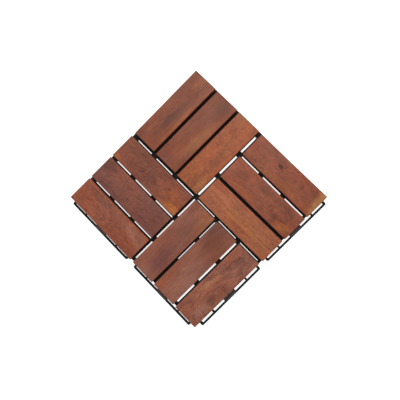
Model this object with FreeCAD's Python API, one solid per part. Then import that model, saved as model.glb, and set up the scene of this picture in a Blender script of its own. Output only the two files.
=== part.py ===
import FreeCAD
import Part

import math
import os
from collections import namedtuple

# Interlocking deck tile, in millimetres: hardwood slats screwed to a moulded plastic lattice.
# X and Y run along the sides, Z points up, and the origin is the middle of the base on the ground.
# Loop strips stand out on the +X and -Y sides, and the -X and +Y sides hang on a neighbour's loops.

# Lattice of the base
bay_pitch = 49.75  # from one cross bar to the next
bays_per_quadrant = 3
base_height = 12.0
foot_height = 3.0  # clear height under the ribs
foot_diameter = 7.0
rim_foot_length = 8.0
cross_bar_width = 10.0
pocket_wall = 1.3  # side walls of the cross bars, which are cored from below
web_thickness = 2.5  # top of a cored cross bar, where the screws bear
slat_rib_width = 3.0  # rib under the middle of each slat
slot_flare = 1.2  # how much a drain slot widens on each side towards the ground
row_band_width = 10.0  # drain slot under a gap between slats, with the bars that flank it
arm_band_width = 11.8  # the same along the two centre lines
closed_web = 1.6  # skin over a slot that is not open
edge_wall = 4.2  # rim on the two loop sides
skirt_wall = 2.0  # rim on the two hook sides
body_corner_radius = 2.0

# Drain slots along each arm of the centre cross: sideways place and width at the top
Arm = namedtuple("Arm", "shift slot_width")
arms = {"north": Arm(0.1, 3.4), "south": Arm(1.4, 2.2), "west": Arm(-2.6, 1.7), "east": Arm(-2.4, 1.3)}

# Slats
slats_per_quadrant = 3
slat_gap = 5.2
quadrant_gap = 7.0
field_setback = 1.4  # slats stand back this far on the hook sides
slat_thickness = 12.0
slat_arris_radius = 1.5  # rounded long edges on top
slat_end_ease = 0.8  # bevel across the top of each end
slat_bottom_ease = 0.6

# Joint between two tiles
tile_joint = 1.5  # from one base to the next
loop_window_length = 23.6
loop_window_width = 4.9
loop_bar_width = 3.3
loop_rib_width = 3.2
loop_pad_width = 24.2
loop_end_width = 4.0
loop_corner_radius = 2.5
strip_lift = 5.0  # clear height under the strip
strip_height = 4.3
flange_thickness = 2.2
bar_clearance = 0.75  # from a neighbour's loop bar to the skirt wall
peg_clearance = 0.6  # from a neighbour's loop bar to the peg
peg_length = 18.0
peg_bite = 0.8  # how far the hook reaches under the bar
peg_play = 0.3  # from the hook to the underside of the bar
peg_hook_height = 1.1
peg_lead = 0.8  # bevel at the foot of the peg

# Screws, driven up through the cross bars
screw_diameter = 3.9
screw_hole_diameter = 4.4
screw_length = 12.0  # under the head
screw_point_length = 2.5
screw_head_diameter = 6.8
screw_head_height = 2.4

column_sides = 12  # round feet, holes and screws are drawn with this many flats

# A row of drain slots between two slats: its shift outwards from the middle of the gap, its width
# at the top, and the bays, counted from the centre, whose slot is skinned over
Row = namedtuple("Row", "shift slot_width closed")
closed_row = Row(0.0, 2.5, (0, 1, 2))

# How a slat lies, a little off its true place: shift outwards, across the slat, and turn in degrees
Lay = namedtuple("Lay", "shift turn")

# Each quadrant of slats: its side of the centre, the way the slats run, how far they all lie
# outwards along their own direction, how each lies, and its inner and outer row of drain slots
Quadrant = namedtuple("Quadrant", "name x_side y_side slats_along slide lays rows")
quadrants = (
    Quadrant(
        "northwest", -1, 1, "y", -0.3,
        (Lay(-0.9, 0.3), Lay(-0.8, 0.5), Lay(-0.3, 0.6)),
        (closed_row, closed_row),
    ),
    Quadrant(
        "northeast", 1, 1, "x", 0.6,
        (Lay(-1.1, 0.7), Lay(-0.9, 0.6), Lay(-0.6, 0.5)),
        (closed_row, Row(-0.8, 2.2, ())),
    ),
    Quadrant(
        "southeast", 1, -1, "y", 0.0,
        (Lay(-0.3, 0.0), Lay(-0.5, 0.0), Lay(-0.1, 0.0)),
        (Row(0.3, 1.3, (2,)), Row(-1.4, 2.9, ())),
    ),
    Quadrant(
        "southwest", -1, -1, "x", -0.3,
        (Lay(0.6, 0.0), Lay(0.3, 0.0), Lay(0.2, 0.0)),
        (Row(0.7, 2.0, ()), Row(0.1, 2.4, ())),
    ),
)
slat_places = ("inner", "middle", "outer")

# Derived sizes of the slats
body_half = bays_per_quadrant * bay_pitch
slat_length = body_half - (field_setback + quadrant_gap) / 2
slat_width = (slat_length - (slats_per_quadrant - 1) * slat_gap) / slats_per_quadrant
field_centre = {"x": field_setback / 2, "y": -field_setback / 2}

# Derived levels of the base
rib_bottom = foot_height
web_bottom = base_height - web_thickness
flange_bottom = base_height - flange_thickness

# Derived places of the rims: a neighbour's loop bar hangs between the skirt and the pegs
loop_reach = loop_window_width + loop_bar_width
skirt_outer = body_half + tile_joint - loop_reach - bar_clearance
skirt_inner = skirt_outer - skirt_wall
edge_inner = body_half - edge_wall
peg_thickness = loop_window_width - tile_joint - peg_clearance
strip_centres = (-body_half / 2, body_half / 2)
window_offsets = (
    loop_pad_width / 2 + loop_window_length / 2,
    loop_pad_width / 2 + loop_window_length * 1.5 + loop_rib_width,
)
strip_length = loop_pad_width + 4 * loop_window_length + 2 * (loop_rib_width + loop_end_width)


def vector(x, y, z):
    return FreeCAD.Vector(x, y, z)


def ordered(a, b):
    return (min(a, b), max(a, b))


def around(centre, width):
    return (centre - width / 2, centre + width / 2)


def block(x_span, y_span, z_span):
    size = [high - low for low, high in (x_span, y_span, z_span)]
    return Part.makeBox(*size, vector(x_span[0], y_span[0], z_span[0]))


def flat_face(points):
    """Flat face inside a closed row of points."""
    return Part.Face(Part.makePolygon(points + points[:1]))


def prism(outline, direction):
    return flat_face([vector(*point) for point in outline]).extrude(direction)


def ring(x, y, z, diameter):
    """Corners of a flat-sided circle, anticlockwise seen from above."""
    turns = [2 * math.pi * (count + 0.5) / column_sides for count in range(column_sides)]
    radius = diameter / 2
    return [vector(x + radius * math.cos(turn), y + radius * math.sin(turn), z) for turn in turns]


def column(x, y, z_span, diameter):
    """Upright column, drawn with flats."""
    return flat_face(ring(x, y, z_span[0], diameter)).extrude(vector(0, 0, z_span[1] - z_span[0]))


def spike(x, y, z_span, diameter):
    """Upright point, drawn with flats."""
    corners = ring(x, y, z_span[0], diameter)
    tip = vector(x, y, z_span[1])
    faces = [flat_face([start, end, tip]) for start, end in zip(corners, corners[1:] + corners[:1])]
    faces.append(flat_face(corners[::-1]))
    return Part.makeSolid(Part.makeShell(faces))


def flared_slot(axis, length, width):
    """Cutter for a drain slot along the named axis, which widens towards the ground."""
    profile = [
        (width[0], base_height),
        (width[1], base_height),
        (width[1] + slot_flare, rib_bottom),
        (width[0] - slot_flare, rib_bottom),
    ]
    run = length[1] - length[0]
    if axis == "x":
        return prism([(length[0], place, z) for place, z in profile], vector(run, 0, 0))
    return prism([(place, length[0], z) for place, z in profile], vector(0, run, 0))


def rounded_plate(x_span, y_span, z_span, radius, sides):
    """Plate with the upright edges rounded on the named sides, such as +x."""
    plate = block(x_span, y_span, z_span)
    faces = {"+x": (0, x_span[1]), "-x": (0, x_span[0]), "+y": (1, y_span[1]), "-y": (1, y_span[0])}
    edges = []
    for edge in plate.Edges:
        start, end = [vertex.Point for vertex in edge.Vertexes]
        upright = abs(start.z - end.z) > (z_span[1] - z_span[0]) / 2
        on_side = any(abs(start[faces[side][0]] - faces[side][1]) < 1e-6 for side in sides)
        if upright and on_side:
            edges.append(edge)
    return plate.makeFillet(radius, edges)


def arm_band(name):
    """Span across one arm of the centre cross, slot and both flanking bars together."""
    return around(arms[name].shift, arm_band_width)


def inner_limit(quadrant, axis):
    """Where the quadrant's bays begin, beside the arm of the centre cross."""
    side = quadrant.x_side if axis == "x" else quadrant.y_side
    if axis == "x":
        band = arm_band("north" if quadrant.y_side > 0 else "south")
    else:
        band = arm_band("east" if quadrant.x_side > 0 else "west")
    return band[1] if side > 0 else band[0]


def outer_limit(axis, side):
    """Inner face of the rim on one side of the tile."""
    loops_here = (axis, side) in (("x", 1), ("y", -1))
    return side * (edge_inner if loops_here else skirt_inner)


def side_of(quadrant, axis):
    return quadrant.x_side if axis == "x" else quadrant.y_side


def across(quadrant):
    return "x" if quadrant.slats_along == "y" else "y"


def bay_spans(quadrant):
    """Spans between cross bars, along the slats, from the centre outwards."""
    axis = quadrant.slats_along
    side = side_of(quadrant, axis)
    near = inner_limit(quadrant, axis)
    spans = []
    for bar in cross_bar_lines(quadrant):
        spans.append(ordered(near, bar - side * cross_bar_width / 2))
        near = bar + side * cross_bar_width / 2
    spans.append(ordered(near, outer_limit(axis, side)))
    return spans


def cross_bar_lines(quadrant):
    side = side_of(quadrant, quadrant.slats_along)
    return [side * count * bay_pitch for count in range(1, bays_per_quadrant)]


def slat_lines(quadrant):
    """Middle of each slat, across the slats, before it is laid."""
    axis = across(quadrant)
    first = quadrant_gap / 2 + slat_width / 2
    steps = [first + count * (slat_width + slat_gap) for count in range(slats_per_quadrant)]
    return [field_centre[axis] + side_of(quadrant, axis) * step for step in steps]


def row_lines(quadrant):
    """Middle of each row of drain slots."""
    side = side_of(quadrant, across(quadrant))
    offset = (slat_width + slat_gap) / 2
    pairs = zip(slat_lines(quadrant)[:-1], quadrant.rows)
    return [line + side * (offset + row.shift) for line, row in pairs]


def zone_spans(quadrant):
    """Spans under each slat, between the bars that flank the drain slots."""
    axis = across(quadrant)
    side = side_of(quadrant, axis)
    near = inner_limit(quadrant, axis)
    spans = []
    for line in row_lines(quadrant):
        spans.append(ordered(near, line - side * row_band_width / 2))
        near = line + side * row_band_width / 2
    spans.append(ordered(near, outer_limit(axis, side)))
    return spans


def plan(quadrant, along_span, across_span):
    """The two spans in X, Y order."""
    if quadrant.slats_along == "x":
        return along_span, across_span
    return across_span, along_span


def bay_openings(quadrant):
    """Open bays under the slats, each pair divided by the rib under the slat's middle."""
    cutters = []
    for middle, zone in zip(slat_lines(quadrant), zone_spans(quadrant)):
        halves = ((zone[0], middle - slat_rib_width / 2), (middle + slat_rib_width / 2, zone[1]))
        for bay in bay_spans(quadrant):
            for half in halves:
                cutters.append(block(*plan(quadrant, bay, half), (rib_bottom, base_height)))
    return cutters


def row_slots(quadrant):
    """Drain slots under the gaps between slats, some of them skinned over."""
    cutters = []
    for line, row in zip(row_lines(quadrant), quadrant.rows):
        width = around(line, row.slot_width)
        for number, bay in enumerate(bay_spans(quadrant)):
            if number in row.closed:
                spans = plan(quadrant, bay, width)
                cutters.append(block(*spans, (rib_bottom, base_height - closed_web)))
            else:
                cutters.append(flared_slot(quadrant.slats_along, bay, width))
    return cutters


def bar_pockets(quadrant):
    """Cores in the underside of the cross bars, one under each slat."""
    cutters = []
    for zone in zone_spans(quadrant):
        length = (zone[0] + pocket_wall, zone[1] - pocket_wall)
        for bar in cross_bar_lines(quadrant):
            width = around(bar, cross_bar_width - 2 * pocket_wall)
            cutters.append(block(*plan(quadrant, width, length), (rib_bottom, web_bottom)))
    return cutters


def arm_slots():
    """Drain slots along the four arms of the centre cross."""
    cutters = []
    bars = [count * bay_pitch for count in range(bays_per_quadrant)]
    for name, arm in arms.items():
        axis = "y" if name in ("north", "south") else "x"
        side = 1 if name in ("north", "east") else -1
        width = around(arm.shift, arm.slot_width)
        for number, bar in enumerate(bars):
            start = bar + cross_bar_width / 2
            if number == bays_per_quadrant - 1:
                end = side * outer_limit(axis, side)
            else:
                end = bars[number + 1] - cross_bar_width / 2
            cutters.append(flared_slot(axis, ordered(side * start, side * end), width))
    return cutters


def screw_places(quadrant):
    """Screw positions of each slat, one at each cross bar, as X, Y pairs."""
    places = []
    for middle in slat_lines(quadrant):
        pairs = [(bar, middle) for bar in cross_bar_lines(quadrant)]
        if quadrant.slats_along == "y":
            pairs = [(x, y) for y, x in pairs]
        places.append(pairs)
    return places


def screw_holes(quadrant):
    height = (web_bottom, base_height)
    pairs = [pair for slat in screw_places(quadrant) for pair in slat]
    return [column(x, y, height, screw_hole_diameter) for x, y in pairs]


def inner_feet():
    """Round feet under the crossings of the lattice."""
    places = [(0.0, 0.0)]
    for name, arm in arms.items():
        side = 1 if name in ("north", "east") else -1
        for count in range(1, bays_per_quadrant):
            bar = side * count * bay_pitch
            places.append((arm.shift, bar) if name in ("north", "south") else (bar, arm.shift))
    for quadrant in quadrants:
        for line in row_lines(quadrant):
            for bar in cross_bar_lines(quadrant):
                places.append((bar, line) if quadrant.slats_along == "x" else (line, bar))
    return [column(x, y, (0, foot_height), foot_diameter) for x, y in places]


def rim_feet():
    """Feet under the rims, in line with the cross bars and at the corners."""
    lines = [count * bay_pitch for count in range(1 - bays_per_quadrant, bays_per_quadrant)]
    x_low, x_high = -skirt_outer, body_half
    y_low, y_high = -body_half, skirt_outer
    left = (x_low, x_low + skirt_wall)
    right = (x_high - edge_wall, x_high)
    bottom = (y_low, y_low + edge_wall)
    top = (y_high - skirt_wall, y_high)
    height = (0, foot_height)
    feet = []
    for line in lines:
        run = around(line, rim_foot_length)
        feet += [block(left, run, height), block(right, run, height)]
        feet += [block(run, bottom, height), block(run, top, height)]
    for x in (left, right):
        for y in (bottom, top):
            feet.append(block(x, y, height))
    return feet


def loop_strip(centre):
    """Strip of loops along the +X side, centred at one Y."""
    reach = (body_half, body_half + loop_reach)
    height = (strip_lift, strip_lift + strip_height)
    run = around(centre, strip_length)
    strip = rounded_plate(reach, run, height, loop_corner_radius, ["+x"])
    opening = (body_half, body_half + loop_window_width)
    windows = []
    for offset in window_offsets:
        for side in (-1, 1):
            windows.append(block(opening, around(centre + side * offset, loop_window_length), height))
    return strip.cut(windows)


def peg(centre):
    """Hook peg under the flange on the -X side, for a neighbour's loop window."""
    outer = -body_half
    inner = outer + peg_thickness
    hook = inner + peg_clearance + peg_bite
    hook_top = strip_lift - peg_play
    bottom = hook_top - peg_hook_height
    start = centre - peg_length / 2
    outline = [
        (outer, start, flange_bottom),
        (inner, start, flange_bottom),
        (inner, start, hook_top),
        (hook, start, hook_top),
        (inner, start, bottom),
        (outer + peg_lead, start, bottom),
        (outer, start, bottom + peg_lead),
    ]
    return prism(outline, vector(0, peg_length, 0))


def turned_to_other_side(shape):
    """Copy of a piece on the +X or -X side, turned to the -Y or +Y side."""
    copy = shape.copy()
    copy.rotate(vector(0, 0, 0), vector(0, 0, 1), -90)
    return copy


def base_lattice():
    """The moulded base: lattice, rims, feet, loop strips and hook pegs."""
    square = (-body_half, body_half)
    heart = block((-skirt_outer, body_half), (-body_half, skirt_outer), (rib_bottom, base_height))
    sides = ["+x", "-x"]
    flange = rounded_plate(square, square, (flange_bottom, base_height), body_corner_radius, sides)
    cutters = arm_slots()
    for quadrant in quadrants:
        cutters += bay_openings(quadrant) + row_slots(quadrant)
        cutters += bar_pockets(quadrant) + screw_holes(quadrant)
    lattice = heart.fuse(flange).removeSplitter().cut(cutters)
    joints = []
    for centre in strip_centres:
        joints.append(loop_strip(centre))
        for offset in window_offsets:
            joints += [peg(centre - offset), peg(centre + offset)]
    joints += [turned_to_other_side(piece) for piece in joints]
    hooked = lattice.fuse(joints).removeSplitter()
    return hooked.fuse(inner_feet() + rim_feet()).removeSplitter()


def screw(x, y):
    """Pan-head screw, head down, its head bearing on the underside of a cross bar's web."""
    tip = web_bottom + screw_length
    shoulder = tip - screw_point_length
    head = column(x, y, (web_bottom - screw_head_height, web_bottom), screw_head_diameter)
    shank = column(x, y, (web_bottom, shoulder), screw_diameter)
    point = spike(x, y, (shoulder, tip), screw_diameter)
    return head.fuse([shank, point]).removeSplitter()


def slat_blank():
    """One planed board lying along X, centred over the origin, its underside at Z 0."""
    half = slat_width / 2
    top = slat_thickness
    ease = slat_bottom_ease
    radius = slat_arris_radius
    shoulder = top - radius
    bend = radius * math.sqrt(0.5)
    start = -slat_length / 2

    def at(y, z):
        return vector(start, y, z)

    def arris(side):
        ends = [at(side * half, shoulder), at(side * (half - radius), top)]
        middle = at(side * (half - radius + bend), shoulder + bend)
        return Part.Arc(ends[0], middle, ends[1]).toShape()

    def line(*ends):
        return Part.makeLine(*ends)

    outline = [
        line(at(-half + ease, 0), at(half - ease, 0)),
        line(at(half - ease, 0), at(half, ease)),
        line(at(half, ease), at(half, shoulder)),
        arris(1),
        line(at(half - radius, top), at(-half + radius, top)),
        arris(-1),
        line(at(-half, shoulder), at(-half, ease)),
        line(at(-half, ease), at(-half + ease, 0)),
    ]
    board = Part.Face(Part.Wire(outline)).extrude(vector(slat_length, 0, 0))
    bevels = []
    for end in (-1, 1):
        x = end * slat_length / 2
        inward = x - end * slat_end_ease
        corner = [(x, -half, top - slat_end_ease), (x, -half, top), (inward, -half, top)]
        bevels.append(prism(corner, vector(0, slat_width, 0)))
    return board.cut(bevels)


def slats():
    """Every slat in its place, by name, drilled by its own screws."""
    placed = {}
    for quadrant in quadrants:
        along = quadrant.slats_along
        outwards = (quadrant_gap + slat_length) / 2 + quadrant.slide
        middle = side_of(quadrant, along) * outwards + field_centre[along]
        rows = zip(slat_places, slat_lines(quadrant), quadrant.lays, screw_places(quadrant))
        for place, line, lay, screws in rows:
            laid = line + side_of(quadrant, across(quadrant)) * lay.shift
            x, y = (middle, laid) if along == "x" else (laid, middle)
            board = slat_blank()
            board.rotate(vector(0, 0, 0), vector(0, 0, 1), lay.turn + (90 if along == "y" else 0))
            board.translate(vector(x, y, base_height))
            placed[f"slat_{quadrant.name}_{place}"] = board.cut([screw(*pair) for pair in screws])
    return placed


def export(name, shape):
    shape.exportStep(os.path.join("parts", name + ".step"))


def main():
    os.makedirs("parts", exist_ok=True)
    export("base_lattice", base_lattice())
    for name, board in slats().items():
        export(name, board)
    screws = [screw(*pair) for quadrant in quadrants for slat in screw_places(quadrant) for pair in slat]
    export("slat_screws", Part.makeCompound(screws))


main()
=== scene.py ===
"""Looks of a square interlocking deck tile: oiled hardwood slats on a black moulded lattice.

Boards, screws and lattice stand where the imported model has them. Lengths are metres unless a name
says millimetres, and a place on a board is given in millimetres from the middle of that board.
"""

import logging
import math
from dataclasses import dataclass
from enum import Enum
from typing import Any

import bmesh
import bpy
from mathutils import Matrix, Vector


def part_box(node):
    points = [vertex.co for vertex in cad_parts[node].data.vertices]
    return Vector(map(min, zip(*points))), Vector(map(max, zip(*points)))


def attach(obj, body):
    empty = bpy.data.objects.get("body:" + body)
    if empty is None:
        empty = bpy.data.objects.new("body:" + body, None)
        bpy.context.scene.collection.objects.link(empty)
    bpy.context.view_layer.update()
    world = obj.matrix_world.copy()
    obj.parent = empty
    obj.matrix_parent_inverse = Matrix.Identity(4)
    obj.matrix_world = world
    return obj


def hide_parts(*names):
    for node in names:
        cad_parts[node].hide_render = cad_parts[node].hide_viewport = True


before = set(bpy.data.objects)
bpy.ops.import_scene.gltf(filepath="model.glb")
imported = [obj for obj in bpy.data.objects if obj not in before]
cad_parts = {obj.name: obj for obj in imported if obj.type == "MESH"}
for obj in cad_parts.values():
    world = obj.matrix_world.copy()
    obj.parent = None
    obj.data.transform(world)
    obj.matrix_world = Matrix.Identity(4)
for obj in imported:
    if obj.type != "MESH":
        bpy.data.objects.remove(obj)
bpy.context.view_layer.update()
BODY = "root"
MM = 0.001
WELD_DISTANCE = 0.002 * MM

log = logging.getLogger("deck_tile")

Socket = bpy.types.NodeSocket
Colour = tuple[float, float, float]
Triple = tuple[float, float, float]
Range = tuple[float, float]
Inputs = dict[str | int, Any]


def paint(*screen: int) -> Colour:
    """Turns red, green and blue, as screen values up to 255, into the shader's linear values."""
    shares = [value / 255 for value in screen]
    return tuple(s / 12.92 if s <= 0.04045 else ((s + 0.055) / 1.055) ** 2.4 for s in shares)


class Graph:
    """Adds nodes to one shader or geometry tree and links them."""

    def __init__(self, tree: bpy.types.NodeTree) -> None:
        """Starts on a tree, and removes the nodes that are in it already."""
        self.tree = tree
        tree.nodes.clear()

    def feed(self, socket: Socket, value: Any) -> None:
        """Links a socket to another, or sets it.

        Args:
            socket: The input to feed.
            value: An output socket, or the value itself.
        """
        if isinstance(value, Socket):
            self.tree.links.new(value, socket)
        elif isinstance(value, tuple) and len(value) == 3 and socket.type == "RGBA":
            socket.default_value = (*value, 1.0)
        else:
            socket.default_value = value

    def add(self, kind: str, inputs: Inputs | None = None, **settings: Any) -> bpy.types.Node:
        """Adds a node.

        Args:
            kind: The node's type name.
            inputs: What feeds its inputs, by name or number.
            **settings: Properties of the node itself.

        Returns:
            The new node.
        """
        node = self.tree.nodes.new(kind)
        for name, value in settings.items():
            setattr(node, name, value)
        for key, value in (inputs or {}).items():
            self.feed(node.inputs[key], value)
        return node

    def out(self, kind: str, inputs: Inputs | None = None, **settings: Any) -> Socket:
        """Adds a node and gives its first output."""
        return self.add(kind, inputs, **settings).outputs[0]

    def number(self, operation: str, *terms: Any, clamp: bool = False) -> Socket:
        """Adds a step of arithmetic and gives its result, held between 0 and 1 where clamp says so."""
        inputs = dict(enumerate(terms))
        return self.out("ShaderNodeMath", inputs, operation=operation, use_clamp=clamp)

    def times(self, one: Any, other: Any) -> Socket:
        """Multiplies two numbers."""
        return self.number("MULTIPLY", one, other)

    def minus(self, one: Any, other: Any) -> Socket:
        """Takes the second number from the first."""
        return self.number("SUBTRACT", one, other)

    def vector(self, operation: str, *terms: Any) -> Socket:
        """Adds a step of vector arithmetic and gives its vector result."""
        return self.out("ShaderNodeVectorMath", dict(enumerate(terms)), operation=operation)

    def length(self, vector: Any) -> Socket:
        """Gives how long a vector is."""
        return self.add("ShaderNodeVectorMath", {0: vector}, operation="LENGTH").outputs["Value"]

    def parts(self, vector: Socket) -> tuple[Socket, ...]:
        """Splits a vector into its three numbers."""
        return tuple(self.add("ShaderNodeSeparateXYZ", {0: vector}).outputs)

    def joined(self, *numbers: Any) -> Socket:
        """Joins three numbers into a vector."""
        return self.out("ShaderNodeCombineXYZ", dict(enumerate(numbers)))


@dataclass(frozen=True)
class Cloud:
    """Cloudy noise: blotches per unit along each axis, finer layers, their strength, and curling."""

    stretch: Triple
    detail: float = 2.0
    rough: float = 0.5
    swirl: float = 0.0


class Paintwork(Graph):
    """A shader tree with the steps that the finishes share."""

    mix_factor, mix_under, mix_over, mixed = 0, 6, 7, 2  # the colour sockets of a Mix node

    def blend(self, factor: Any, under: Any, over: Any) -> Socket:
        """Mixes two colours: a factor of 0 gives the one under, and 1 the one over it."""
        inputs = {self.mix_factor: factor, self.mix_under: under, self.mix_over: over}
        return self.add("ShaderNodeMix", inputs, data_type="RGBA", clamp_factor=True).outputs[self.mixed]

    def noise(self, place: Any, cloud: Cloud, output: str = "Fac") -> Socket:
        """Adds cloudy noise.

        Args:
            place: The position that it is read at.
            cloud: The kind of noise.
            output: Fac for one value around one half, Color for three.

        Returns:
            The noise.
        """
        inputs = {
            "Vector": self.vector("MULTIPLY", place, cloud.stretch),
            "Scale": 1.0,
            "Detail": cloud.detail,
            "Roughness": cloud.rough,
            "Distortion": cloud.swirl,
        }
        return self.add("ShaderNodeTexNoise", inputs).outputs[output]

    def swung(self, value: Any, swing: float, middle: Any) -> Socket:
        """Lets a value around one half swing another one round its middle."""
        return self.number("MULTIPLY_ADD", self.minus(value, 0.5), swing, middle)

    def bump(self, height: Any, distance: float, strength: float) -> Socket:
        """Turns a height into a bumpy normal."""
        inputs = {"Strength": strength, "Distance": distance, "Height": height}
        return self.out("ShaderNodeBump", inputs)

    def ramp(self, value: Any, low: float, high: float) -> Socket:
        """Turns a value into 0 at low and 1 at high, with soft ends."""
        inputs = {"Value": value, "From Min": low, "From Max": high}
        return self.out("ShaderNodeMapRange", inputs, interpolation_type="SMOOTHSTEP")

    def finish(self, shader: Socket) -> None:
        """Links the shader to the material's output."""
        self.add("ShaderNodeOutputMaterial", {"Surface": shader})


def new_material(name: str) -> tuple[bpy.types.Material, Paintwork]:
    """Makes an empty material.

    Args:
        name: What the finish is called.

    Returns:
        The material, and its tree to fill.
    """
    material = bpy.data.materials.new(name)
    material.use_nodes = True
    return material, Paintwork(material.node_tree)


def new_object(name: str, data: Any) -> bpy.types.Object:
    """Makes an object and puts it in the scene.

    Args:
        name: The object's name.
        data: What it shows, such as a mesh or a light.

    Returns:
        The object.
    """
    obj = bpy.data.objects.new(name, data)
    bpy.context.scene.collection.objects.link(obj)
    return obj


class Tone(Enum):
    """Colours of the oiled wood."""

    ORANGE_BROWN = paint(165, 94, 61)
    CHESTNUT = paint(156, 86, 53)
    RED_BROWN = paint(146, 78, 53)
    WARM_BROWN = paint(134, 75, 53)
    BROWN = paint(140, 82, 63)
    DEEP_BROWN = paint(133, 73, 54)
    PURPLE_BROWN = paint(127, 74, 60)
    GREY_BROWN = paint(106, 61, 46)
    SHADOW_BROWN = paint(118, 64, 44)
    DARK = paint(88, 52, 42)
    # Darker end grain on the board ends, and painted shade on the board sides down in the gaps.
    END_GRAIN_AND_SHADED_SIDE = paint(88, 42, 30)
    KNOT = paint(82, 40, 30)
    ORANGE = paint(172, 98, 52)
    SAPWOOD = paint(186, 122, 70)
    PALE_PINK = paint(164, 108, 88)
    MAUVE = paint(122, 70, 64)


@dataclass(frozen=True)
class Patch:
    """A soft-edged oval of another colour on a board, such as a knot, a streak or sapwood.

    Lengths are millimetres, and it leans by so many degrees.
    """

    along: float
    across: float
    length: float
    width: float
    tone: Tone
    strength: float = 0.6
    lean: float = 0.0


@dataclass(frozen=True)
class Knot:
    """A place where the growth rings bend round a branch. Lengths are millimetres."""

    along: float
    across: float
    reach: float
    rise: float


@dataclass(frozen=True)
class Grain:
    """How one board was cut: its colour, growth rings and figure. Lengths are millimetres."""

    tone: Tone
    seed: float
    shade: float = 1.0
    pith_across: float = 8.0
    pith_depth: float = 34.0
    dip: float = 0.10
    ring_contrast: float = 0.45
    ripple: float = 0.20
    curl: float = 0.30
    streak: float = 1.0
    wander: float = 5.0
    knots: tuple[Knot, ...] = ()
    patches: tuple[Patch, ...] = ()


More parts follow.
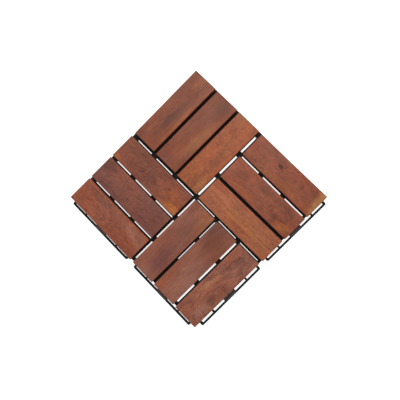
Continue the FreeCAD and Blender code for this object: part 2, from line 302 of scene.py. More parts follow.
@dataclass(frozen=True)
class OiledWood:
    """Oiled reddish hardwood on one board, its figure following the board's own growth rings.

    Lengths are millimetres, and noise has so many blotches per millimetre along, across and up.
    """

    grain: Grain
    seed_step: Triple = (37.0, 11.0, 0.0)
    wandering: Cloud = Cloud((0.016, 0.05, 0.05))
    fibre: Cloud = Cloud((0.022, 0.85, 0.85), 4.0, 0.6)
    fleck: Cloud = Cloud((0.10, 0.36, 0.36), 3.0, 0.6)
    cloud: Cloud = Cloud((0.018, 0.055, 0.055), 2.0, 0.45)
    ripple: Cloud = Cloud((0.26, 0.10, 0.10), 3.0, 0.55)
    curl: Cloud = Cloud((0.15, 0.26, 0.26), 3.0, 0.62, 2.4)
    hue: Cloud = Cloud((0.014, 0.04, 0.04))
    raggedness: Cloud = Cloud((0.07, 0.22, 0.22), 3.0, 0.6)
    pore: Cloud = Cloud((0.16, 2.6, 2.6))
    ring_width: float = 4.2
    ring_detail: float = 4.0
    ring_roughness: float = 0.62
    knot_stretch: float = 0.6
    fibre_contrast: float = 0.66
    fleck_contrast: float = 0.45
    cloud_contrast: float = 0.60
    colour_swing: Colour = (0.62, 0.70, 0.66)
    mauve_tint: Colour = (0.94, 1.02, 1.10)
    orange_tint: Colour = (1.06, 0.98, 0.90)
    hue_range: Range = (0.3, 0.7)
    patch_edge: Range = (1.25, 0.25)
    patch_raggedness: float = 1.1
    pore_range: Range = (0.60, 0.70)
    pore_strength: float = 0.40
    end_fade: Range = (0.9, 0.2)
    side_fade: Range = (0.8, 2.4)
    roughness: float = 0.50
    roughness_swing: float = 0.25
    sawn_roughness: float = 0.95
    # Strength of the darker end grain, and of the painted shade on the sides in the gaps.
    end_grain_and_side_shade: float = 0.72
    relief: float = 0.06 * MM
    relief_strength: float = 0.6

    def material(
        self, name: str, centre: Vector, turn: float, half_length: float, half_thickness: float
    ) -> bpy.types.Material:
        """Makes the board's material.

        Args:
            name: The material's name.
            centre: Middle of the board, in metres.
            turn: Direction of the board, as an angle about Z in radians.
            half_length: Half the board's length.
            half_thickness: Half the board's thickness.

        Returns:
            The material.
        """
        material, work = new_material(name)
        place = work.add("ShaderNodeTexCoord").outputs["Object"]
        scale = (MM, MM, MM)
        inputs = {"Vector": place, "Location": centre, "Rotation": (0, 0, turn), "Scale": scale}
        board = work.out("ShaderNodeMapping", inputs, vector_type="TEXTURE")
        seeded = work.vector("ADD", board, tuple(self.grain.seed * step for step in self.seed_step))
        drift = self.drift(work, seeded)
        wandered = work.vector("ADD", seeded, drift)
        fibre = work.noise(wandered, self.fibre)
        rings = self.rings(work, work.vector("ADD", board, drift))
        tone = self.tone(work, seeded, rings, fibre)
        figured = self.colours(work, seeded, tone)
        patched = self.patched(work, board, seeded, figured)
        pores = work.ramp(work.noise(wandered, self.pore), *self.pore_range)
        pored = work.blend(work.times(pores, self.pore_strength), patched, Tone.DARK.value)
        # Ends get darker end grain; sides get painted shade that stands in for the shade in the gaps.
        ends_and_sides = self.ends_and_sides(work, board, half_length, half_thickness)
        darkening = work.times(ends_and_sides, self.end_grain_and_side_shade)
        planed = work.swung(fibre, self.roughness_swing, self.roughness)
        extra = self.sawn_roughness - self.roughness
        height = work.minus(fibre, pores)
        inputs = {
            "Base Color": work.blend(darkening, pored, Tone.END_GRAIN_AND_SHADED_SIDE.value),
            "Roughness": work.number("MULTIPLY_ADD", ends_and_sides, extra, planed, clamp=True),
            "Normal": work.bump(height, self.relief, self.relief_strength),
            "IOR": 1.45,
            "Specular IOR Level": 0.25,
        }
        work.finish(work.out("ShaderNodeBsdfPrincipled", inputs))
        return material

    def drift(self, work: Paintwork, place: Any) -> Socket:
        """Gives how far the grain wanders sideways at a place."""
        centred = work.vector("SUBTRACT", work.noise(place, self.wandering, "Color"), (0.5, 0.5, 0.5))
        return work.vector("MULTIPLY", centred, (0.0, 2 * self.grain.wander, 2 * self.grain.wander))

    def rings(self, work: Paintwork, place: Any) -> Socket:
        """Shades the growth rings by their distance from the tree's pith.

        Args:
            work: The material's tree.
            place: The position on the board, with the grain's drift.

        Returns:
            Their shade, around one half.
        """
        along, across, up = work.parts(place)
        side = work.minus(across, self.grain.pith_across)
        depth = work.number("MULTIPLY_ADD", along, self.grain.dip, self.grain.pith_depth)
        down = work.number("ADD", up, depth)
        distance = work.number("SQRT", work.number("MULTIPLY_ADD", side, side, work.times(down, down)))
        for knot in self.grain.knots:
            distance = work.number("ADD", distance, self.bend(work, place, knot))
        place = work.number("DIVIDE", distance, self.ring_width)
        inputs = {"W": place, "Scale": 1.0, "Detail": self.ring_detail, "Roughness": self.ring_roughness}
        return work.out("ShaderNodeTexNoise", inputs, noise_dimensions="1D")

    def bend(self, work: Paintwork, place: Any, knot: Knot) -> Socket:
        """Works out how far the rings are pushed out near a knot.

        Args:
            work: The material's tree.
            place: The position on the board.
            knot: The knot.

        Returns:
            The distance to add, in millimetres.
        """
        offset = work.vector("SUBTRACT", place, (knot.along, knot.across, 0.0))
        share = (self.knot_stretch / knot.reach, 1.0 / knot.reach, 0.0)
        length = work.length(work.vector("MULTIPLY", offset, share))
        fall = work.times(work.times(length, length), -1.0)
        return work.times(work.number("EXPONENT", fall), knot.rise)

    def tone(self, work: Paintwork, place: Any, rings: Any, fibre: Any) -> Socket:
        """Adds up the light and dark of the wood's figure.

        Args:
            work: The material's tree.
            place: The position on the board, shifted by the board's seed.
            rings: The growth rings' shade.
            fibre: The fibre's shade.

        Returns:
            The sum, around one half.
        """
        layers = (
            (rings, self.grain.ring_contrast),
            (fibre, self.fibre_contrast * self.grain.streak),
            (work.noise(place, self.fleck), self.fleck_contrast * self.grain.streak),
            (work.noise(place, self.cloud), self.cloud_contrast),
            (work.noise(place, self.ripple), self.grain.ripple),
            (work.noise(place, self.curl), self.grain.curl),
        )
        total: Any = 0.5
        for layer, contrast in layers:
            total = work.swung(layer, contrast, total)
        return total

    def colours(self, work: Paintwork, place: Any, tone: Any) -> Socket:
        """Turns light and dark into the board's own browns, which drift from mauve to orange.

        Args:
            work: The material's tree.
            place: The position on the board, shifted by the board's seed.
            tone: Light and dark, around one half.

        Returns:
            The colour.
        """
        base = [value * self.grain.shade for value in self.grain.tone.value]
        dark = tuple(value * (1 - share) for value, share in zip(base, self.colour_swing))
        light = tuple(value * (1 + share) for value, share in zip(base, self.colour_swing))
        drift = work.ramp(work.noise(place, self.hue), *self.hue_range)
        tint = work.blend(drift, self.mauve_tint, self.orange_tint)
        return work.vector("MULTIPLY", work.blend(tone, dark, light), tint)

    def patched(self, work: Paintwork, board: Any, seeded: Any, colour: Any) -> Socket:
        """Tints the board's knots, streaks and sapwood, with the grain still showing in them.

        Args:
            work: The material's tree.
            board: The position on the board.
            seeded: The same, shifted by the board's seed.
            colour: The colour so far.

        Returns:
            The tinted colour.
        """
        ragged = work.swung(work.noise(seeded, self.raggedness), self.patch_raggedness, 0.0)
        for patch in self.grain.patches:
            inputs = {
                "Vector": board,
                "Location": (patch.along, patch.across, 0),
                "Rotation": (0, 0, math.radians(patch.lean)),
                "Scale": (patch.length / 2, patch.width / 2, 1.0),
            }
            local = work.out("ShaderNodeMapping", inputs, vector_type="TEXTURE")
            flat = work.vector("MULTIPLY", local, (1.0, 1.0, 0.0))
            inside = work.ramp(work.number("ADD", work.length(flat), ragged), *self.patch_edge)
            share = work.times(inside, patch.strength)
            tint = tuple(over / under for over, under in zip(patch.tone.value, self.grain.tone.value))
            colour = work.blend(share, colour, work.vector("MULTIPLY", colour, tint))
        return colour

    def ends_and_sides(self, work: Paintwork, board: Any, half_length: float, half_thickness: float) -> Socket:
        """Tells the sawn ends and sides from the planed face; the sides also get painted shade for the
        gaps.

        Args:
            work: The material's tree.
            board: The position on the board.
            half_length: Half the board's length.
            half_thickness: Half the board's thickness.

        Returns:
            1 on the sawn ends and sides, and 0 on the planed face.
        """
        along, _, up = work.parts(board)
        near, full = (half_length - step for step in self.end_fade)
        end = work.ramp(work.number("ABSOLUTE", along), near, full)
        side = work.ramp(up, *(half_thickness - step for step in self.side_fade))
        return work.number("MAXIMUM", end, side)


@dataclass(frozen=True)
class MouldedPlastic:
    """Matt black polypropylene with a faint mould texture, and painted highlight on the tops of the pads
    between its loops.

    Noise has so many blotches per metre along each axis.
    """

    name: str = "black_polypropylene"
    rim: float = 149.3 * MM
    rim_fade: float = 0.4 * MM
    pad_centre: float = 74.6 * MM
    pad_half: float = 12.1 * MM
    pad_core: float = 0.85
    pad_top: float = 9.3 * MM
    pad_fade: Range = (0.9 * MM, 0.1 * MM)
    flow: Cloud = Cloud((24.0, 24.0, 60.0), 4.0, 0.6)
    texture: Cloud = Cloud((2400.0, 2400.0, 2400.0))
    colour: Colour = paint(20, 22, 23)
    bloom: Colour = paint(37, 40, 41)
    bloom_range: Range = (0.42, 0.80)
    # Painted highlight: the lit tops of the pads are drawn lighter than the plain black.
    pad_top_highlight: Colour = paint(82, 80, 81)
    pad_highlight_breakup: Range = (0.1, 0.6)
    roughness: float = 0.72
    roughness_swing: float = 0.3
    relief: float = 0.03 * MM
    relief_strength: float = 0.35

    def material(self) -> bpy.types.Material:
        """Makes the material.

        Returns:
            The material.
        """
        material, work = new_material(self.name)
        place = work.add("ShaderNodeTexCoord").outputs["Object"]
        flow = work.noise(place, self.flow)
        plain = work.blend(work.ramp(flow, *self.bloom_range), self.colour, self.bloom)
        inputs = {
            # Painted highlight on the pad tops, over the plain black.
            "Base Color": work.blend(self.pad_highlight_share(work, place, flow), plain, self.pad_top_highlight),
            "Roughness": work.swung(flow, self.roughness_swing, self.roughness),
            "Normal": work.bump(work.noise(place, self.texture), self.relief, self.relief_strength),
            "IOR": 1.49,
            "Specular IOR Level": 0.2,
        }
        work.finish(work.out("ShaderNodeBsdfPrincipled", inputs))
        return material

    def pad_highlight_share(self, work: Paintwork, place: Any, flow: Any) -> Socket:
        """Works out where painted highlight lightens the tops of the pads.

        Args:
            work: The material's tree.
            place: The position on the lattice.
            flow: Noise that breaks the painted highlight up into patches.

        Returns:
            Up to 1 on top of a pad, and 0 away from all pads.
        """
        across, along, up = work.parts(place)
        sides = ((across, along), (work.times(along, -1.0), across))
        share: Any = 0.0
        for outwards, sideways in sides:
            beyond = work.ramp(outwards, self.rim, self.rim + self.rim_fade)
            offset = work.minus(work.number("ABSOLUTE", sideways), self.pad_centre)
            distance = work.number("ABSOLUTE", offset)
            on_pad = work.ramp(distance, self.pad_half, self.pad_half * self.pad_core)
            share = work.number("MAXIMUM", share, work.times(beyond, on_pad))
        patchy_highlight = work.times(share, work.ramp(flow, *self.pad_highlight_breakup))
        top = work.ramp(up, *(self.pad_top - step for step in self.pad_fade))
        return work.times(patchy_highlight, top)


@dataclass(frozen=True)
class ZincSteel:
    """Zinc-plated screw steel. Noise has so many blotches per metre along each axis."""

    name: str = "zinc_steel"
    stain: Cloud = Cloud((420.0, 420.0, 420.0), 4.0, 0.6)
    colour: Colour = paint(178, 178, 172)
    dull: Colour = paint(120, 118, 110)
    dull_range: Range = (0.45, 0.75)
    roughness: float = 0.34
    roughness_swing: float = 0.4
    relief: float = 0.02 * MM
    relief_strength: float = 0.2

    def material(self) -> bpy.types.Material:
        """Makes the material.

        Returns:
            The material.
        """
        material, work = new_material(self.name)
        stain = work.noise(work.add("ShaderNodeTexCoord").outputs["Object"], self.stain)
        inputs = {
            "Base Color": work.blend(work.ramp(stain, *self.dull_range), self.colour, self.dull),
            "Roughness": work.swung(stain, self.roughness_swing, self.roughness),
            "Normal": work.bump(stain, self.relief, self.relief_strength),
            "Metallic": 1.0,
        }
        work.finish(work.out("ShaderNodeBsdfPrincipled", inputs))
        return material


class ShapeTree(Graph):
    """A geometry tree with named inputs, used through a modifier on an object."""

    def __init__(self, name: str) -> None:
        """Starts a tree that takes and gives one geometry.

        Args:
            name: The tree's name.
        """
        super().__init__(bpy.data.node_groups.new(name, "GeometryNodeTree"))
        self.sockets: dict[str, str] = {}
        for way in ("INPUT", "OUTPUT"):
            self.tree.interface.new_socket("Geometry", in_out=way, socket_type="NodeSocketGeometry")
        self.source = self.add("NodeGroupInput")

    def size(self, name: str, kind: str = "NodeSocketFloat") -> Socket:
        """Adds a named input.

        Args:
            name: The input's name.
            kind: The socket's type.

        Returns:
            The socket that gives it inside the tree.
        """
        item = self.tree.interface.new_socket(name, in_out="INPUT", socket_type=kind)
        self.sockets[name] = item.identifier
        return self.source.outputs[name]

    def merged(self, *pieces: Socket) -> Socket:
        """Puts several shapes into one geometry.

        Args:
            *pieces: The shapes.

        Returns:
            All of them together.
        """
        both = self.add("GeometryNodeJoinGeometry")
        for piece in pieces:
            self.tree.links.new(piece, both.inputs[0])
        return both.outputs[0]

    def moved(self, geometry: Any, place: Any, turn: Any = (0.0, 0.0, 0.0)) -> Socket:
        """Turns a shape round the origin and then moves it."""
        inputs = {"Geometry": geometry, "Translation": place, "Rotation": turn}
        return self.out("GeometryNodeTransform", inputs)

    def close(self, geometry: Any, material: Any, smooth: bool) -> None:
        """Ends the tree: realised, dressed and shaded.

        Args:
            geometry: The shape so far.
            material: The socket that gives the material.
            smooth: Whether its faces are shaded smooth.
        """
        real = self.out("GeometryNodeRealizeInstances", {0: geometry})
        shaded = self.out("GeometryNodeSetShadeSmooth", {"Geometry": real, "Shade Smooth": smooth})
        dressed = self.out("GeometryNodeSetMaterial", {"Geometry": shaded, "Material": material})
        self.add("NodeGroupOutput", {0: dressed})

    def shape(self, name: str, start: bpy.types.Mesh, values: dict[str, Any]) -> bpy.types.Object:
        """Runs the tree and keeps its result as a plain mesh.

        Args:
            name: The new object's name.
            start: The mesh that the tree starts from.
            values: What each named input is set to.

        Returns:
            The object, with no modifier left.
        """
        obj = new_object(name, start)
        modifier = obj.modifiers.new(self.tree.name, "NODES")
        modifier.node_group = self.tree
        for key, value in values.items():
            modifier[self.sockets[key]] = value
        evaluated = obj.evaluated_get(bpy.context.evaluated_depsgraph_get())
        mesh = bpy.data.meshes.new_from_object(evaluated)
        obj.modifiers.remove(modifier)
        obj.data = mesh
        mesh.name = name
        return obj


def shade_smooth(obj: bpy.types.Object, angle: float = 35.0) -> None:
    """Shades an object smooth, apart from edges sharper than the angle in degrees."""
    obj.data.shade_smooth()
    obj.data.set_sharp_from_angle(angle=math.radians(angle))


class BoardTree(ShapeTree):
    """Geometry of one planed board: eased arrises along it and softened ends."""

    end_steps = 3
    arris_steps = 5
    least_reach = 1e-6

    def __init__(self) -> None:
        """Builds the tree."""
        super().__init__("planed_board")
        self.long = self.size("Length")
        self.wide = self.size("Width")
        self.thick = self.size("Thickness")
        self.top = self.size("Top Radius")
        self.bottom = self.size("Bottom Radius")
        self.end = self.size("End Radius")
        centre = self.size("Centre", "NodeSocketVector")
        turn = self.size("Turn", "NodeSocketVector")
        material = self.size("Material", "NodeSocketMaterial")
        inputs = {"Curve": self.stations(), "Profile Curve": self.section(), "Fill Caps": True}
        softened = self.softened(self.out("GeometryNodeCurveToMesh", inputs))
        self.close(self.moved(softened, centre, turn), material, True)

    def section(self) -> Socket:
        """Makes the board's cross-section, with larger radii at the top.

        Returns:
            The closed outline.
        """
        inputs = {"Width": self.wide, "Height": self.thick}
        rectangle = self.out("GeometryNodeCurvePrimitiveQuadrilateral", inputs)
        height = self.parts(self.out("GeometryNodeInputPosition"))[1]
        upper = self.number("GREATER_THAN", height, 0.0)
        radius = self.number("MULTIPLY_ADD", upper, self.minus(self.top, self.bottom), self.bottom)
        inputs = {"Curve": rectangle, "Radius": radius, "Limit Radius": True, "Count": self.arris_steps}
        return self.out("GeometryNodeFilletCurve", inputs, mode="POLY")

    def stations(self) -> Socket:
        """Makes the line that the section follows, with close points at both ends.

        Returns:
            The line as a curve.
        """
        last = 2 * self.end_steps + 1
        line = self.out("GeometryNodeMeshLine", {"Count": last + 1, "Offset": (1.0, 0.0, 0.0)})
        index = self.out("GeometryNodeInputIndex")
        far = self.number("GREATER_THAN", index, self.end_steps + 0.5)
        side = self.number("MULTIPLY_ADD", far, 2.0, -1.0)
        inward = self.number("MINIMUM", index, self.minus(last, index))
        outward = self.minus(self.end_steps, inward)
        angle = self.times(outward, math.pi / (2 * self.end_steps))
        inset = self.times(self.end, self.minus(1.0, self.number("SINE", angle)))
        half = self.minus(self.times(self.long, 0.5), inset)
        place = self.joined(self.times(side, half), 0.0, 0.0)
        moved = self.out("GeometryNodeSetPosition", {"Geometry": line, "Position": place})
        return self.out("GeometryNodeMeshToCurve", {"Mesh": moved})

    def softened(self, swept: Any) -> Socket:
        """Draws the last stations inwards, so that the ends are rounded too.

        Args:
            swept: The board so far.

        Returns:
            The board with rounded ends.
        """
        along, across, up = self.parts(self.out("GeometryNodeInputPosition"))
        beyond = self.minus(self.number("ABSOLUTE", along), self.times(self.long, 0.5))
        share = self.number("DIVIDE", self.number("ADD", beyond, self.end), self.end, clamp=True)
        flat = self.minus(1.0, self.times(share, share))
        pull = self.times(self.minus(1.0, self.number("SQRT", flat)), self.end)
        core = [self.core(value, size) for value, size in ((across, self.wide), (up, self.thick))]
        offset = self.vector("SUBTRACT", self.joined(0.0, across, up), self.joined(0.0, *core))
        reach = self.number("MAXIMUM", self.length(offset), self.least_reach)
        inputs = {0: offset, "Scale": self.number("DIVIDE", pull, reach)}
        inward = self.out("ShaderNodeVectorMath", inputs, operation="SCALE")
        back = self.vector("SUBTRACT", (0.0, 0.0, 0.0), inward)
        return self.out("GeometryNodeSetPosition", {"Geometry": swept, "Offset": back})

    def core(self, value: Any, size: Any) -> Socket:
        """Holds a coordinate within the part of the section that lies inside the arrises."""
        limit = self.minus(self.times(size, 0.5), self.top)
        return self.number("MINIMUM", self.number("MAXIMUM", value, self.times(limit, -1.0)), limit)


class Axis(Enum):
    """The way the slats of a quadrant run."""

    X = 0.0
    Y = 90.0


@dataclass(frozen=True)
class Slat:
    """One hardwood board of the tile's face."""

    node: str
    axis: Axis
    lay_turn: float
    grain: Grain
    arris_radius: float = 1.5 * MM
    bottom_radius: float = 0.6 * MM
    end_radius: float = 0.8 * MM

    def measure(self) -> tuple[Vector, float, float, float]:
        """Reads the board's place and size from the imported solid.

        Returns:
            Its middle, length, width and thickness.
        """
        low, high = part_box(self.node)
        size = high - low
        spans = (size.x, size.y) if self.axis is Axis.X else (size.y, size.x)
        cosine = math.cos(math.radians(self.lay_turn))
        sine = abs(math.sin(math.radians(self.lay_turn)))
        scale = cosine * cosine - sine * sine
        length = (spans[0] * cosine - spans[1] * sine) / scale
        width = (spans[1] * cosine - spans[0] * sine) / scale
        return (low + high) / 2, length, width, size.z

    def build(self, tree: BoardTree) -> bpy.types.Object:
        """Makes the board and dresses it.

        Args:
            tree: The tree that shapes a board.

        Returns:
            The board's object.
        """
        centre, length, width, thickness = self.measure()
        turn = math.radians(self.axis.value + self.lay_turn)
        name = self.node.replace("slat_", "board_")
        halves = (length / MM / 2, thickness / MM / 2)
        finish = OiledWood(self.grain).material(name + "_wood", centre, turn, *halves)
        values = {
            "Length": length,
            "Width": width,
            "Thickness": thickness,
            "Top Radius": self.arris_radius,
            "Bottom Radius": self.bottom_radius,
            "End Radius": self.end_radius,
            "Centre": centre,
            "Turn": (0.0, 0.0, turn),
            "Material": finish,
        }
        board = tree.shape(name, bpy.data.meshes.new(name + "_start"), values)
        shade_smooth(board)
        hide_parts(self.node)
        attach(board, BODY)
        return board


GRAINS: dict[str, Grain] = {
    "northwest_inner": Grain(
        Tone.CHESTNUT, 1.0, ripple=0.40, curl=1.2, wander=7.0, ring_contrast=0.5,
        knots=(Knot(14, 12, 26, 9),),
        patches=(
            Patch(-56, -15, 44, 14, Tone.SAPWOOD, 0.45),
            Patch(-20, 2, 50, 18, Tone.RED_BROWN, 0.5, 20),
            Patch(22, 4, 50, 12, Tone.RED_BROWN, 0.45, -14),
            Patch(50, -16, 50, 14, Tone.RED_BROWN, 0.6),
        ),
    ),
    "northwest_middle": Grain(
        Tone.WARM_BROWN, 2.0, pith_across=-30, ring_contrast=0.18, curl=0.2, streak=0.6,
        patches=(
            Patch(56, -4, 50, 34, Tone.GREY_BROWN, 0.6, 12),
            Patch(-10, -12, 84, 22, Tone.SAPWOOD, 0.32),
            Patch(-64, 4, 30, 30, Tone.MAUVE, 0.6),
        ),
    ),
    "northwest_outer": Grain(
        Tone.WARM_BROWN, 3.0, pith_across=22, ring_contrast=0.26, curl=0.3,
        patches=(
            Patch(-10, -4, 84, 14, Tone.GREY_BROWN, 0.95, -2),
            Patch(0, -19, 130, 9, Tone.ORANGE, 0.55),
            Patch(62, 2, 40, 18, Tone.SAPWOOD, 0.25),
            Patch(-62, 8, 30, 12, Tone.MAUVE, 0.4),
        ),
    ),
    "northeast_inner": Grain(
        Tone.ORANGE_BROWN, 4.0, pith_across=-46, dip=0.02, wander=3.0, curl=1.2,
        patches=(
            Patch(-62, 16, 60, 18, Tone.RED_BROWN, 1.0),
            Patch(8, -2, 120, 16, Tone.SAPWOOD, 0.35, 2),
            Patch(-40, -16, 60, 10, Tone.RED_BROWN, 0.4),
            Patch(44, 17, 60, 10, Tone.RED_BROWN, 0.4),
        ),
    ),
    "northeast_middle": Grain(
        Tone.RED_BROWN, 5.0, pith_across=6, wander=7.0, curl=0.8, ring_contrast=0.8,
        knots=(Knot(30, 7, 16, 14),),
        patches=(
            Patch(44, 10, 50, 22, Tone.GREY_BROWN, 0.55, -4),
            Patch(-2, 14, 44, 20, Tone.SHADOW_BROWN, 0.8),
            Patch(36, -13, 12, 24, Tone.GREY_BROWN, 0.6),
            Patch(56, -13, 26, 16, Tone.ORANGE, 0.8, 12),
            Patch(-28, -16, 60, 12, Tone.ORANGE, 0.4),
        ),
    ),
    "northeast_outer": Grain(
        Tone.RED_BROWN, 6.0, pith_across=-12, wander=6.0, curl=0.8, ring_contrast=0.7,
        knots=(Knot(-14, 6, 10, 12),),
        patches=(
            Patch(-14, 6, 13, 8, Tone.KNOT, 0.95, -20),
            Patch(-30, 14, 70, 18, Tone.GREY_BROWN, 0.45),
            Patch(34, 5, 10, 6, Tone.DARK, 0.45),
            Patch(69, 4, 18, 54, Tone.SAPWOOD, 1.0, 8),
            Patch(0, -15, 90, 14, Tone.ORANGE, 0.4),
        ),
    ),
    "southeast_inner": Grain(
        Tone.BROWN, 7.0, pith_across=26, ring_contrast=0.18, curl=0.3, streak=0.6,
        patches=(
            Patch(-66, 4, 34, 40, Tone.PALE_PINK, 0.3),
            Patch(-34, -7, 62, 32, Tone.MAUVE, 0.85),
            Patch(54, -12, 56, 26, Tone.ORANGE, 0.5, 14),
            Patch(62, 14, 30, 16, Tone.SHADOW_BROWN, 0.7),
        ),
    ),
    "southeast_middle": Grain(
        Tone.BROWN, 8.0, pith_across=-24, ring_contrast=0.2, curl=0.25, streak=0.6,
        patches=(
            Patch(-36, -10, 100, 40, Tone.PALE_PINK, 0.85),
            Patch(48, 4, 76, 50, Tone.SHADOW_BROWN, 1.0, 20),
            Patch(-66, 17, 24, 8, Tone.ORANGE, 0.4),
        ),
    ),
    "southeast_outer": Grain(
        Tone.BROWN, 9.0, 1.07, pith_across=-2, pith_depth=20, dip=0.16, ripple=0.2, curl=1.0,
        ring_contrast=1.1, wander=9.0, knots=(Knot(-26, -8, 17, 20),),
        patches=(
            Patch(-50, -12, 50, 20, Tone.PALE_PINK, 0.6),
            Patch(-22, -10, 24, 22, Tone.GREY_BROWN, 0.75, 24),
            Patch(2, -14, 34, 16, Tone.GREY_BROWN, 0.35),
            Patch(-6, 10, 70, 10, Tone.SAPWOOD, 0.2, -8),
            Patch(50, 14, 50, 18, Tone.RED_BROWN, 0.8),
        ),
    ),
    "southwest_inner": Grain(
        Tone.DEEP_BROWN, 10.0, pith_across=14, ripple=0.14, ring_contrast=0.7, curl=1.3,
        knots=(Knot(16, 8, 22, 12),),
        patches=(
            Patch(-66, -19, 18, 12, Tone.ORANGE, 0.75),
            Patch(46, -6, 84, 46, Tone.CHESTNUT, 0.8, 6),
            Patch(-34, 0, 60, 30, Tone.SHADOW_BROWN, 0.5),
            Patch(-24, 16, 140, 26, Tone.SHADOW_BROWN, 1.0),
            Patch(60, -15, 46, 18, Tone.ORANGE, 0.8, 8),
        ),
    ),
    "southwest_middle": Grain(
        Tone.PURPLE_BROWN, 11.0, pith_across=4, ripple=0.14, ring_contrast=0.36, curl=1.4,
        patches=(
            Patch(-62, 14, 36, 24, Tone.DARK, 0.6, 30),
            Patch(-40, 2, 44, 12, Tone.BROWN, 0.5, 40),
            Patch(40, -14, 70, 14, Tone.MAUVE, 0.7),
        ),
    ),
    "southwest_outer": Grain(
        Tone.RED_BROWN, 12.0, pith_across=-4, pith_depth=24, dip=0.14, ripple=0.14, curl=1.1,
        ring_contrast=0.75, wander=8.0, knots=(Knot(46, 4, 22, 14),),
        patches=(
            Patch(-34, 13, 80, 18, Tone.GREY_BROWN, 0.7),
            Patch(54, 10, 66, 24, Tone.PALE_PINK, 0.42, -4),
            Patch(-20, -6, 40, 20, Tone.SHADOW_BROWN, 0.3),
            Patch(-24, 0, 130, 60, Tone.PALE_PINK, 0.16),
        ),
    ),
}


@dataclass(frozen=True)
class Quadrant:
    """Three slats side by side, each laid askew by so many degrees."""

    name: str
    axis: Axis
    lay_turns: Triple = (0.0, 0.0, 0.0)

    def slats(self) -> list[Slat]:
        """Gives the quadrant's slats, from the centre outwards."""
        laid = zip((f"{self.name}_{place}" for place in ("inner", "middle", "outer")), self.lay_turns)
        return [Slat("slat_" + key, self.axis, turn, GRAINS[key]) for key, turn in laid]


class Face:
    """The tile's face of twelve slats."""

    quadrants = (
        Quadrant("northwest", Axis.Y, (0.3, 0.5, 0.6)),
        Quadrant("northeast", Axis.X, (0.7, 0.6, 0.5)),
        Quadrant("southeast", Axis.Y),
        Quadrant("southwest", Axis.X),
    )

    def build(self) -> None:
        """Makes every slat."""
        tree = BoardTree()
        for quadrant in self.quadrants:
            for slat in quadrant.slats():
                board = slat.build(tree)
                log.info("%s: %d faces", board.name, len(board.data.polygons))


@dataclass(frozen=True)
class Lattice:
    """The moulded base, with its edges eased as a mould leaves them."""

    node: str = "base_lattice"
    edge_radius: float = 0.22 * MM
    edge_steps: int = 2
    sharp_angle: float = 28.0

    def build(self) -> bpy.types.Object:
        """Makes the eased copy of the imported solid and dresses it.

        Returns:
            The lattice's object.
        """
        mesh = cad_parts[self.node].data.copy()
        mesh.name = "lattice"
        mesh.materials.clear()
        work = bmesh.new()
        work.from_mesh(mesh)
        bmesh.ops.remove_doubles(work, verts=work.verts[:], dist=WELD_DISTANCE)
        work.to_mesh(mesh)
        work.free()
        mesh.materials.append(MouldedPlastic().material())
        lattice = new_object("lattice", mesh)
        bevel = lattice.modifiers.new("eased_edges", "BEVEL")
        bevel.width = self.edge_radius
        bevel.segments = self.edge_steps
        bevel.limit_method = "ANGLE"
        bevel.angle_limit = math.radians(self.sharp_angle)
        bevel.use_clamp_overlap = False
        bevel.harden_normals = True
        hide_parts(self.node)
        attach(lattice, BODY)
        return lattice


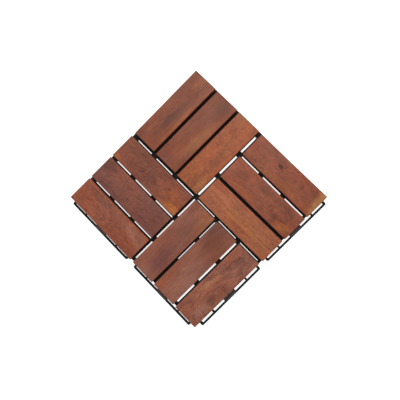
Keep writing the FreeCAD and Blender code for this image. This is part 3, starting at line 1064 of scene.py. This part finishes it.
class ScrewTree(ShapeTree):
    """Geometry of pan-head screws, head down: one at each point of the starting mesh."""

    sides = 24
    head_steps = 6
    turn_steps = 16
    thread_corners = 4
    brim_share = 0.55
    recess_length = 0.52
    recess_width = 0.13
    recess_depth = 1.2

    def __init__(self) -> None:
        """Builds the tree."""
        super().__init__("pan_head_screws")
        self.head_wide = self.size("Head Diameter")
        self.head_high = self.size("Head Height")
        shank_wide = self.size("Shank Diameter")
        shank_long = self.size("Shank Length")
        self.point = self.size("Point Length")
        self.pitch = self.size("Thread Pitch")
        self.depth = self.size("Thread Depth")
        seed = self.size("Seed", "NodeSocketInt")
        material = self.size("Material", "NodeSocketMaterial")
        self.radius = self.minus(self.times(shank_wide, 0.5), self.depth)
        self.straight = self.minus(shank_long, self.point)
        screw = self.merged(self.head(), self.core(), self.thread())
        inputs = {"Min": (0.0, 0.0, -math.pi), "Max": (0.0, 0.0, math.pi), "Seed": seed}
        turn = self.out("FunctionNodeRandomValue", inputs, data_type="FLOAT_VECTOR")
        inputs = {"Points": self.source.outputs["Geometry"], "Instance": screw, "Rotation": turn}
        self.close(self.out("GeometryNodeInstanceOnPoints", inputs), material, False)

    def head(self) -> Socket:
        """Makes the domed head with its cross recess, its bearing face at height 0.

        Returns:
            The head.
        """
        inputs = {"Vertices": self.sides, "Side Segments": self.head_steps, "Radius": 1.0, "Depth": 1.0}
        drum = self.add("GeometryNodeMeshCylinder", inputs).outputs["Mesh"]
        across, along, up = self.parts(self.out("GeometryNodeInputPosition"))
        rise = self.number("ADD", up, 0.5)
        fall = self.minus(1.0, rise)
        bulge = self.number("SQRT", self.minus(1.0, self.times(fall, fall)))
        share = self.number("MULTIPLY_ADD", bulge, 1.0 - self.brim_share, self.brim_share)
        radius = self.times(share, self.times(self.head_wide, 0.5))
        height = self.times(self.minus(rise, 1.0), self.head_high)
        place = self.joined(self.times(across, radius), self.times(along, radius), height)
        dome = self.out("GeometryNodeSetPosition", {"Geometry": drum, "Position": place})
        settings = {"operation": "DIFFERENCE", "solver": "EXACT"}
        cut = self.add("GeometryNodeMeshBoolean", {"Mesh 1": dome}, **settings)
        for turn in (0.0, math.pi / 2):
            self.tree.links.new(self.recess_arm(turn), cut.inputs["Mesh 2"])
        return cut.outputs[0]

    def recess_arm(self, turn: float) -> Socket:
        """Makes one arm of the cutter for the cross recess.

        Args:
            turn: Direction of the arm, as an angle about Z in radians.

        Returns:
            The arm, a bar right across the head.
        """
        size = self.joined(
            self.times(self.head_wide, self.recess_length),
            self.times(self.head_wide, self.recess_width),
            self.times(self.head_high, self.recess_depth),
        )
        bar = self.add("GeometryNodeMeshCube", {"Size": size}).outputs["Mesh"]
        drop = self.joined(0.0, 0.0, self.times(self.head_high, -1.0))
        return self.moved(bar, drop, (0.0, 0.0, turn))

    def core(self) -> Socket:
        """Makes the core of the shank and its point.

        Returns:
            Both as one closed shape.
        """
        inputs = {"Vertices": self.sides, "Radius": self.radius, "Depth": self.straight}
        drum = self.add("GeometryNodeMeshCylinder", inputs).outputs
        inputs = {"Geometry": drum["Mesh"], "Selection": drum["Top"]}
        shank = self.out("GeometryNodeDeleteGeometry", inputs, domain="FACE")
        middle = self.joined(0.0, 0.0, self.times(self.straight, 0.5))
        inputs = {
            "Vertices": self.sides,
            "Radius Top": 0.0,
            "Radius Bottom": self.radius,
            "Depth": self.point,
        }
        tip = self.add("GeometryNodeMeshCone", inputs, fill_type="NONE").outputs["Mesh"]
        end = self.joined(0.0, 0.0, self.straight)
        both = self.merged(self.moved(shank, middle), self.moved(tip, end))
        return self.out("GeometryNodeMergeByDistance", {"Geometry": both, "Distance": WELD_DISTANCE})

    def thread(self) -> Socket:
        """Winds the thread round the core.

        Returns:
            The thread.
        """
        inputs = {
            "Resolution": self.turn_steps,
            "Rotations": self.number("DIVIDE", self.straight, self.pitch),
            "Start Radius": self.radius,
            "End Radius": self.radius,
            "Height": self.straight,
        }
        helix = self.out("GeometryNodeCurveSpiral", inputs)
        level = self.out("GeometryNodeSetCurveNormal", {"Curve": helix}, mode="Z_UP")
        inputs = {"Resolution": self.thread_corners, "Radius": self.depth}
        ridge = self.out("GeometryNodeCurvePrimitiveCircle", inputs)
        inputs = {"Curve": level, "Profile Curve": ridge, "Fill Caps": True}
        return self.out("GeometryNodeCurveToMesh", inputs)


@dataclass(frozen=True)
class Screws:
    """The short pan-head screws that hold the slats, driven up from below."""

    node: str = "slat_screws"
    head_diameter: float = 6.8 * MM
    head_height: float = 2.4 * MM
    shank_diameter: float = 3.9 * MM
    point_length: float = 2.5 * MM
    thread_pitch: float = 1.6 * MM
    thread_depth: float = 0.5 * MM
    turn_seed: int = 7

    def places(self) -> tuple[list[Vector], float]:
        """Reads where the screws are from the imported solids.

        Returns:
            The middle of each head's bearing face, and the length of a screw under its head.
        """
        work = bmesh.new()
        work.from_mesh(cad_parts[self.node].data)
        bmesh.ops.remove_doubles(work, verts=work.verts[:], dist=WELD_DISTANCE)
        places = []
        rest = set(work.verts)
        while rest:
            found = [rest.pop()]
            for vertex in found:
                near = {edge.other_vert(vertex) for edge in vertex.link_edges} & rest
                rest -= near
                found.extend(near)
            spread = list(zip(*(vertex.co for vertex in found)))
            low, high = (Vector(map(pick, spread)) for pick in (min, max))
            middle = (low + high) / 2
            places.append(Vector((middle.x, middle.y, low.z + self.head_height)))
            length = high.z - low.z - self.head_height
        work.free()
        places.sort(key=lambda place: (round(place.x, 5), round(place.y, 5)))
        return places, length

    def build(self) -> bpy.types.Object:
        """Makes all the screws as one piece and dresses them.

        Returns:
            The screws' object.
        """
        places, length = self.places()
        start = bpy.data.meshes.new("screw_places")
        start.from_pydata(places, [], [])
        values = {
            "Head Diameter": self.head_diameter,
            "Head Height": self.head_height,
            "Shank Diameter": self.shank_diameter,
            "Shank Length": length,
            "Point Length": self.point_length,
            "Thread Pitch": self.thread_pitch,
            "Thread Depth": self.thread_depth,
            "Seed": self.turn_seed,
            "Material": ZincSteel().material(),
        }
        screws = ScrewTree().shape("screws", start, values)
        shade_smooth(screws)
        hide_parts(self.node)
        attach(screws, BODY)
        return screws


@dataclass(frozen=True)
class Stage:
    """Pale floor and soft studio light."""

    floor_size: float = 6.0
    floor_colour: Colour = (0.86, 0.86, 0.86)
    floor_glow: float = 0.84
    sky_light: float = 0.40
    key_power: float = 25.0
    key_size: float = 1.6
    key_place: Triple = (-0.55, 0.75, 1.7)

    def seen_directly(self, work: Graph) -> Socket:
        """Marks what the camera sees, straight or through a reflection or glass.

        Args:
            work: The tree that asks.

        Returns:
            1 for what it sees, and 0 for the rest.
        """
        path = work.add("ShaderNodeLightPath").outputs
        straight = work.number("MAXIMUM", path["Is Camera Ray"], path["Is Glossy Ray"])
        return work.number("MAXIMUM", straight, path["Is Transmission Ray"])

    def floor(self) -> None:
        """Lays the white floor, which keeps a trace of the tile's shadow."""
        half = self.floor_size / 2
        corners = [(-half, -half, 0.0), (half, -half, 0.0), (half, half, 0.0), (-half, half, 0.0)]
        mesh = bpy.data.meshes.new("floor")
        mesh.from_pydata(corners, [], [(0, 1, 2, 3)])
        material, work = new_material("white_floor")
        glow = work.times(self.seen_directly(work), self.floor_glow)
        matt = work.out("ShaderNodeBsdfDiffuse", {"Color": self.floor_colour})
        light = work.out("ShaderNodeEmission", {"Color": (1.0, 1.0, 1.0), "Strength": glow})
        work.finish(work.out("ShaderNodeAddShader", {0: matt, 1: light}))
        mesh.materials.append(material)
        obj = new_object("floor", mesh)

    def sky(self) -> None:
        """Lights the scene evenly from all round, with white behind it."""
        world = bpy.data.worlds.new("studio")
        bpy.context.scene.world = world
        world.use_nodes = True
        work = Graph(world.node_tree)
        extra = work.times(self.seen_directly(work), 1.0 - self.sky_light)
        strength = work.number("ADD", extra, self.sky_light)
        glow = work.out("ShaderNodeBackground", {"Color": (1.0, 1.0, 1.0), "Strength": strength})
        work.add("ShaderNodeOutputWorld", {"Surface": glow})

    def key(self) -> None:
        """Hangs one large soft light above the tile."""
        light = bpy.data.lights.new("key", "AREA")
        light.shape = "SQUARE"
        light.size = self.key_size
        light.energy = self.key_power
        obj = new_object("key", light)
        obj.location = self.key_place
        obj.rotation_euler = (-Vector(self.key_place)).to_track_quat("-Z", "Y").to_euler()

    def build(self) -> None:
        """Sets up floor and light."""
        self.floor()
        self.sky()
        self.key()


@dataclass(frozen=True)
class Viewpoint:
    """The photograph's camera: almost straight above, with one corner of the tile at the top."""

    place: Triple = (0.0843, 0.0150, 0.7517)
    aim: Triple = (0.0095, 0.0006, 0.0240)
    picture_up: Triple = (-0.7066, 0.7052, 0.0587)
    focal_length: float = 40.5
    sensor: float = 36.0
    nearest: float = 0.01

    def build(self) -> None:
        """Makes the camera and looks through it."""
        data = bpy.data.cameras.new("camera")
        data.lens = self.focal_length
        data.sensor_width = self.sensor
        data.clip_start = self.nearest
        back = (Vector(self.place) - Vector(self.aim)).normalized()
        right = Vector(self.picture_up).cross(back).normalized()
        up = back.cross(right)
        turn = Matrix((right, up, back)).transposed()
        camera = new_object("camera", data)
        camera.matrix_world = Matrix.Translation(self.place) @ turn.to_4x4()
        bpy.context.scene.camera = camera


def main() -> None:
    """Builds the tile, then what stands round it."""
    logging.basicConfig(level=logging.INFO, format="%(name)s %(message)s")
    bpy.context.scene.view_settings.view_transform = "Standard"
    Viewpoint().build()
    Stage().build()
    lattice = Lattice().build()
    log.info("%s: %d faces before easing", lattice.name, len(lattice.data.polygons))
    Face().build()
    screws = Screws().build()
    log.info("%s: %d faces", screws.name, len(screws.data.polygons))


if __name__ == "__main__":
    main()
